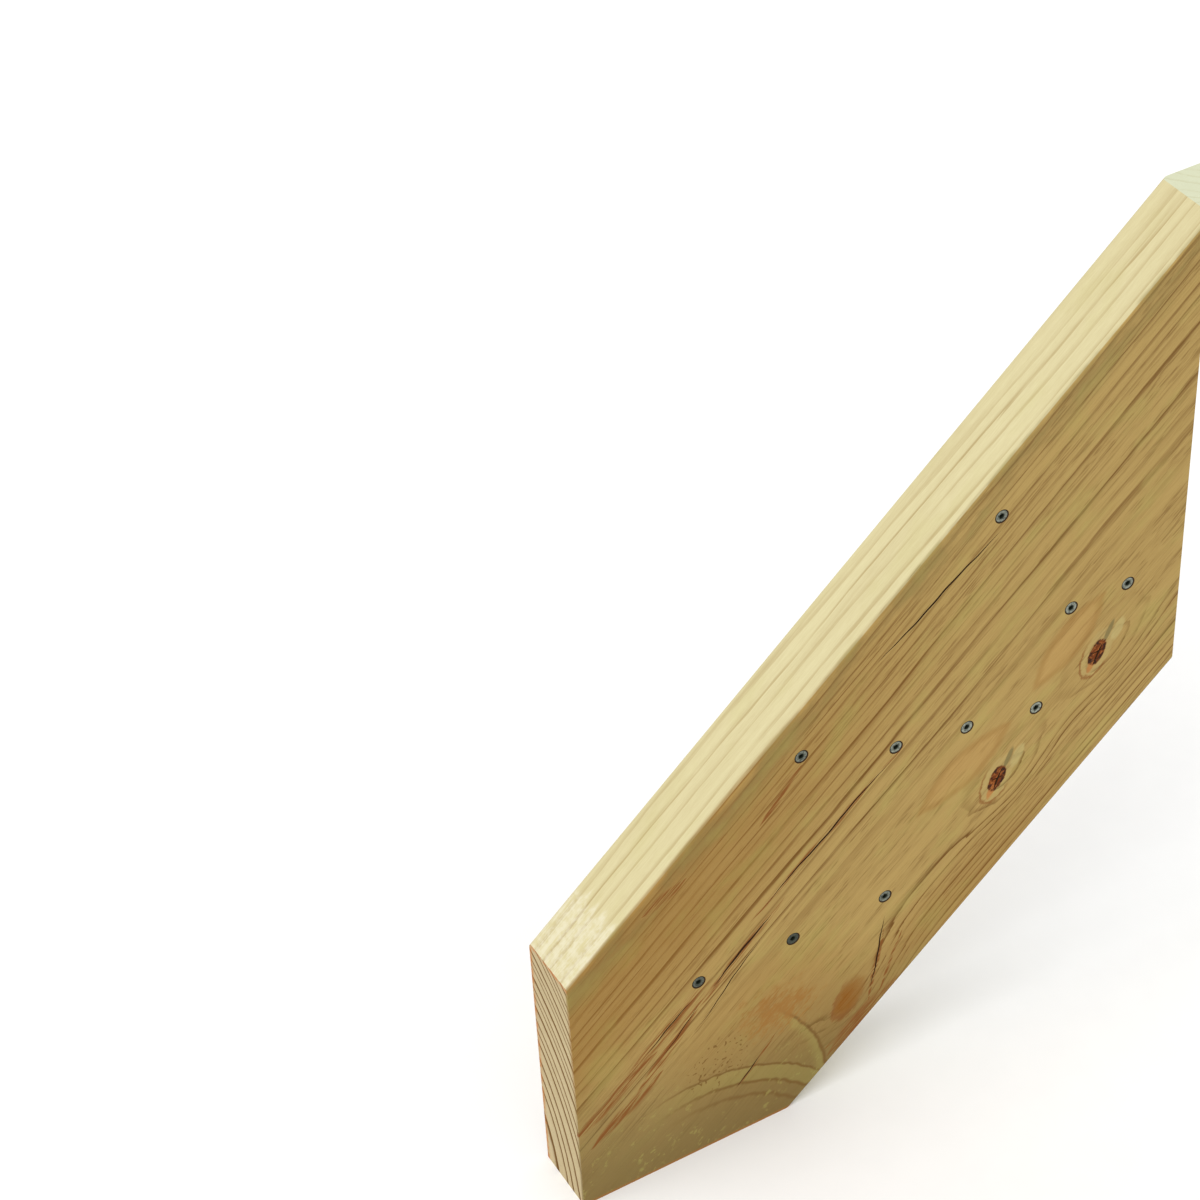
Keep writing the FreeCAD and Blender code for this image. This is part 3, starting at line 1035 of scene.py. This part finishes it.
@dataclass
class Stringer:
    """The sawn plank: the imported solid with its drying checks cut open."""

    STORED_NORMALS = "custom_normal"

    node: str = "stringer"
    sharp_edge: float = 0.5
    flatness: float = 0.9999
    finish: TimberFinish = TimberFinish()

    def build(self) -> bpy.types.Object:
        """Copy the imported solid, cut each check out of it and give it its finish.

        Returns:
            The finished plank.
        """
        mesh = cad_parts[self.node].data.copy()
        mesh.name = "plank"
        stored = mesh.attributes.get(self.STORED_NORMALS)
        if stored is not None:
            mesh.attributes.remove(stored)
        weld(mesh)
        plank = bpy.data.objects.new("plank", mesh)
        bpy.context.scene.collection.objects.link(plank)
        grain = self.finish.grain
        cutters = [check.cutter(grain.axes) for check in grain.checks]
        for cutter in cutters:
            cut = plank.modifiers.new("check", "BOOLEAN")
            cut.operation = "DIFFERENCE"
            cut.solver = "MANIFOLD"
            cut.object = cutter
        self.settle(plank)
        for cutter in cutters:
            bpy.data.objects.remove(cutter)
        plank.data.materials.clear()
        plank.data.materials.append(self.finish.material())
        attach(plank, "root")
        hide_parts(self.node)
        return plank

    def settle(self, plank: bpy.types.Object) -> None:
        """Make the cuts part of the mesh, and shade its rounds smooth and its flats flat.

        Args:
            plank: The plank, with its cuts still as modifiers.
        """
        seen = bpy.context.evaluated_depsgraph_get()
        cut = bpy.data.meshes.new_from_object(plank.evaluated_get(seen))
        plank.modifiers.clear()
        plank.data = cut
        normals = np.empty(len(cut.polygons) * 3, dtype=np.float32)
        cut.polygons.foreach_get("normal", normals)
        slope = self.finish.grain.axes.slope
        square = np.vstack([np.eye(3), (-math.sin(slope), 0.0, math.cos(slope))])
        aligned = np.abs(normals.reshape(-1, 3) @ square.T).max(axis=1)
        cut.polygons.foreach_set("use_smooth", aligned < self.flatness)
        cut.set_sharp_from_angle(angle=self.sharp_edge)


@dataclass(frozen=True)
class ScrewFinish:
    """Dark green-grey coating, pale in spots on the heads, some more than others: rubbed coating and painted
    highlight.
    """

    coat: Colour = (0.020, 0.026, 0.016)
    # Pale grey of rubbed coating, which also stands in for a painted highlight on the heads.
    bare_and_highlight: Colour = (0.370, 0.395, 0.320)
    spots_per_mm: float = 0.8
    shows: Ramp = Ramp(0.25, 0.6)
    specular: float = 0.16
    relief: float = 0.5

    def material(self) -> bpy.types.Material:
        """Write the finish as one node graph.

        Returns:
            The material.
        """
        graph = Graph("coated_screw_finish")
        spots = graph.noise(graph.place(self.spots_per_mm / MM), 3.0, 0.6)
        # Pale ring on top of the heads: rubbed coating and painted highlight.
        bare_and_highlight = graph.stored(Screws.WEAR_AND_HIGHLIGHT) * self.shows.at(spots)
        return graph.finish(
            Base_Color=graph.blend(bare_and_highlight, self.coat, self.bare_and_highlight),
            Roughness=spots * 0.3 + 0.3,
            Specular_IOR_Level=self.specular,
            Normal=graph.relief(spots * 0.1, self.relief),
        )


@dataclass
class Screws:
    """Ten countersunk deck screws as one piece, in millimetres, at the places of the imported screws.

    Shank, head and drive are half widths. Core, neck and flare are shares of the shank.
    """

    # Stored paleness of the heads: rubbed coating and painted highlight.
    WEAR_AND_HIGHLIGHT = "wear_and_highlight"

    node: str = "tread_screws"
    length: float = 30.0
    shank: float = 2.1
    head: float = 4.0
    rim: float = 0.3
    drive: float = 1.4
    drive_depth: float = 2.2
    plain_shank: float = 8.0
    point: float = 7.0
    pitch: float = 2.4
    core: float = 0.68
    neck: float = 0.92
    flare: float = 1.15
    corner: float = 9.0
    columns: int = 40
    thread_rows: int = 104
    turn: float = 2.4
    sharp_edge: float = 0.7
    tip_slack: float = 0.1
    tip_digits: int = 5
    # Where and how strongly each head is pale: rubbed coating and painted highlight.
    wear_and_highlight_depth: Ramp = Ramp(0.4, 0.15)
    wear_and_highlight_inner: Ramp = Ramp(1.5, 2.6)
    wear_and_highlight_rim: float = 0.5
    wear_and_highlight_by_screw: tuple[float, ...] = (0.25, 0.10, 0.55, 0.55, 0.80, 0.95, 0.65, 1.0, 0.80, 0.80)
    finish: ScrewFinish = ScrewFinish()

    def places(self) -> np.ndarray:
        """The middles of the heads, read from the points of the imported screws.

        Returns:
            An array of X, Y and Z in metres, with a row for each screw.
        """
        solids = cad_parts[self.node].data
        points = np.empty(len(solids.vertices) * 3, dtype=np.float32)
        solids.vertices.foreach_get("co", points)
        points = points.reshape(-1, 3).astype(float)
        deepest = points[:, 1].max()
        at_tip = points[:, 1] > deepest - self.tip_slack * MM
        tips = np.unique(np.round(points[at_tip], self.tip_digits), axis=0)
        tips[:, 1] = deepest - self.length * MM
        return tips

    def head_rows(self) -> np.ndarray:
        """The turned head, from the bottom of the drive to the end of the plain shank.

        Returns:
            Rows of radius, depth and squareness.
        """
        return np.array([
            (0.0, self.drive_depth, 1.0),
            (self.drive * 0.6, self.drive_depth, 1.0),
            (self.drive * 0.94, self.drive_depth * 0.95, 1.0),
            (self.drive * 0.97, self.drive_depth * 0.5, 1.0),
            (self.drive, 0.14, 1.0),
            (self.drive + 0.12, 0.03, 0.85),
            (self.drive + 0.5, 0.05, 0.3),
            (self.head * 0.72, 0.06, 0.0),
            (self.head * 0.88, 0.02, 0.0),
            (self.head - 0.1, 0.0, 0.0),
            (self.head, 0.1, 0.0),
            (self.head, self.rim, 0.0),
            (self.head * 0.8, self.rim + self.head * 0.2, 0.0),
            (self.shank * self.flare, self.rim + self.head - self.shank * self.flare, 0.0),
            (self.shank * self.neck, self.rim + self.head - self.shank * 0.7, 0.0),
            (self.shank * self.neck, self.plain_shank, 0.0),
        ])

    def build(self) -> bpy.types.Object:
        """Turn one screw, repeat it at every place and give the group its finish.

        Returns:
            The finished group.
        """
        radius, depth, angle = self.surface()
        places = self.places()
        turns = angle[None] + (np.arange(len(places)) * self.turn)[:, None, None]
        middles = places[:, None, None, :]
        x = middles[..., 0] + radius * np.cos(turns) * MM
        y = middles[..., 1] + depth * MM
        z = middles[..., 2] + radius * np.sin(turns) * MM
        group = grid_object("coated_screws", list(np.stack([x, y, z], axis=-1)))
        self.keep_wear_and_highlight(group, places)
        mesh = group.data
        mesh.polygons.foreach_set("use_smooth", np.ones(len(mesh.polygons), dtype=bool))
        mesh.set_sharp_from_angle(angle=self.sharp_edge)
        mesh.materials.append(self.finish.material())
        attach(group, "root")
        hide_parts(self.node)
        return group

    def surface(self) -> tuple[np.ndarray, np.ndarray, np.ndarray]:
        """The whole screw as a surface of two parameters, the row and the angle.

        A head row has the radius r / (|cos|ⁿ + |sin|ⁿ)^(1/n) where it is square and r where it is round.
        A thread row has the core's radius and a ridge 1 - |3 f|, with f the distance in pitches from the
        helix, both drawn in to nothing at the point.

        Returns:
            Radius, depth and angle, each of rows by columns.
        """
        angle = np.linspace(0.0, 2.0 * math.pi, self.columns + 1)[None, :]
        rows = self.head_rows()
        powers = np.abs(np.cos(angle)) ** self.corner + np.abs(np.sin(angle)) ** self.corner
        square = powers ** (-1.0 / self.corner)
        head = rows[:, :1] * (1.0 + rows[:, 2:3] * (square - 1.0))
        thread_depth = np.linspace(self.plain_shank, self.length, self.thread_rows + 1)[1:, None]
        turns = thread_depth / self.pitch - angle / (2.0 * math.pi)
        ridge = np.maximum(1.0 - 3.0 * np.abs(turns - np.round(turns)), 0.0)
        taper = np.minimum((self.length - thread_depth) / self.point, 1.0)
        start = np.minimum((thread_depth - self.plain_shank) / self.pitch, 1.0)
        core = self.shank * (self.neck + (self.core - self.neck) * start)
        thread = taper * (core + (self.shank - core) * ridge * start)
        radius = np.concatenate([head, thread])
        depth = np.concatenate([rows[:, 1:2], thread_depth])
        return tuple(np.broadcast_arrays(radius, depth, angle))

    def keep_wear_and_highlight(self, group: bpy.types.Object, places: np.ndarray) -> None:
        """Store at each point how pale the head is, in a ring on top of the heads: rubbed coating and
        painted highlight.

        Args:
            group: The screws.
            places: The middles of the heads, counted from the front of the plank.
        """
        mesh = group.data
        points = np.empty(len(mesh.vertices) * 3, dtype=np.float32)
        mesh.vertices.foreach_get("co", points)
        points = points.reshape(-1, 1, 3)
        nearest = np.argmin(np.abs(points - places[None]).sum(axis=2), axis=1)
        top = self.wear_and_highlight_depth.at((points[:, 0, 1] - places[0, 1]) / MM)
        away = np.hypot(*(points[:, 0, :] - places[nearest])[:, ::2].T) / MM
        ring = self.wear_and_highlight_inner.at(away) * smooth(away, self.head, self.head - self.wear_and_highlight_rim)
        wear_and_highlight = top * ring * np.array(self.wear_and_highlight_by_screw)[nearest]
        mesh.attributes.new(self.WEAR_AND_HIGHLIGHT, "FLOAT", "POINT").data.foreach_set("value", wear_and_highlight.astype(np.float32))


@dataclass
class Studio:
    """A pale floor, a bright room and one soft lamp, seen from where the photograph was taken."""

    floor_half: float = 6.0
    floor_steps: int = 3
    floor_colour: Colour = (0.930, 0.930, 0.925)
    mottle: float = 0.97
    mottles_per_metre: float = 40.0
    room_strength: float = 0.78
    lamp_from: tuple = (-0.567, -0.141, 0.812)
    lamp_spread: float = 0.9
    lamp_power: float = 1.65
    camera_place: tuple = (-0.6038, -1.1130, 1.4969)
    camera_forward: tuple = (0.3525, 0.6788, -0.6442)
    camera_up: tuple = (0.3520, 0.5416, 0.7634)
    lens: float = 94.04
    sensor: float = 36.0

    def build(self) -> None:
        """Make the floor, the light and the camera."""
        self.lay_floor()
        self.light()
        self.look()

    def lay_floor(self) -> None:
        """A square of pale floor as a grid of two parameters, X and Y, at the height of the foot."""
        steps = np.linspace(-self.floor_half, self.floor_half, self.floor_steps)
        x, y = np.meshgrid(steps, steps, indexing="ij")
        floor = grid_object("floor", [np.stack([x, y, np.zeros_like(x)], axis=-1)])
        graph = Graph("floor_finish")
        clouds = graph.noise(graph.place(self.mottles_per_metre))
        duller = tuple(self.mottle * part for part in self.floor_colour)
        colour = graph.blend(clouds, self.floor_colour, duller)
        floor.data.materials.append(graph.finish(Base_Color=colour, Roughness=0.9, Specular_IOR_Level=0.1))

    def light(self) -> None:
        """A white room and one wide lamp from above the lower end of the plank."""
        world = bpy.data.worlds.new("room")
        world.use_nodes = True
        background = world.node_tree.nodes["Background"]
        background.inputs["Color"].default_value = (1.0, 1.0, 1.0, 1.0)
        background.inputs["Strength"].default_value = self.room_strength
        bpy.context.scene.world = world
        lamp = bpy.data.lights.new("lamp", "SUN")
        lamp.energy = self.lamp_power
        lamp.angle = self.lamp_spread
        holder = bpy.data.objects.new("lamp", lamp)
        holder.location = self.lamp_from
        holder.rotation_euler = (-Vector(self.lamp_from)).to_track_quat("-Z", "Y").to_euler()
        bpy.context.scene.collection.objects.link(holder)
        bpy.context.scene.view_settings.view_transform = "Standard"

    def look(self) -> None:
        """Put the camera at the photograph's place, with its right hand across forward and up."""
        lens = bpy.data.cameras.new("camera")
        lens.lens = self.lens
        lens.sensor_width = self.sensor
        forward = Vector(self.camera_forward).normalized()
        right = forward.cross(Vector(self.camera_up)).normalized()
        up = right.cross(forward)
        holder = bpy.data.objects.new("camera", lens)
        turn = Matrix((right, up, -forward)).transposed().to_4x4()
        holder.matrix_world = Matrix.Translation(self.camera_place) @ turn
        bpy.context.scene.collection.objects.link(holder)
        bpy.context.scene.camera = holder


def main() -> None:
    """Build the plank and its screws, and set up the studio."""
    logging.basicConfig(level=logging.INFO)
    for maker in (Stringer(), Screws()):
        piece = maker.build()
        LOG.info("%s: %d faces", piece.name, len(piece.data.polygons))
    Studio().build()


if __name__ == "__main__":
    main()
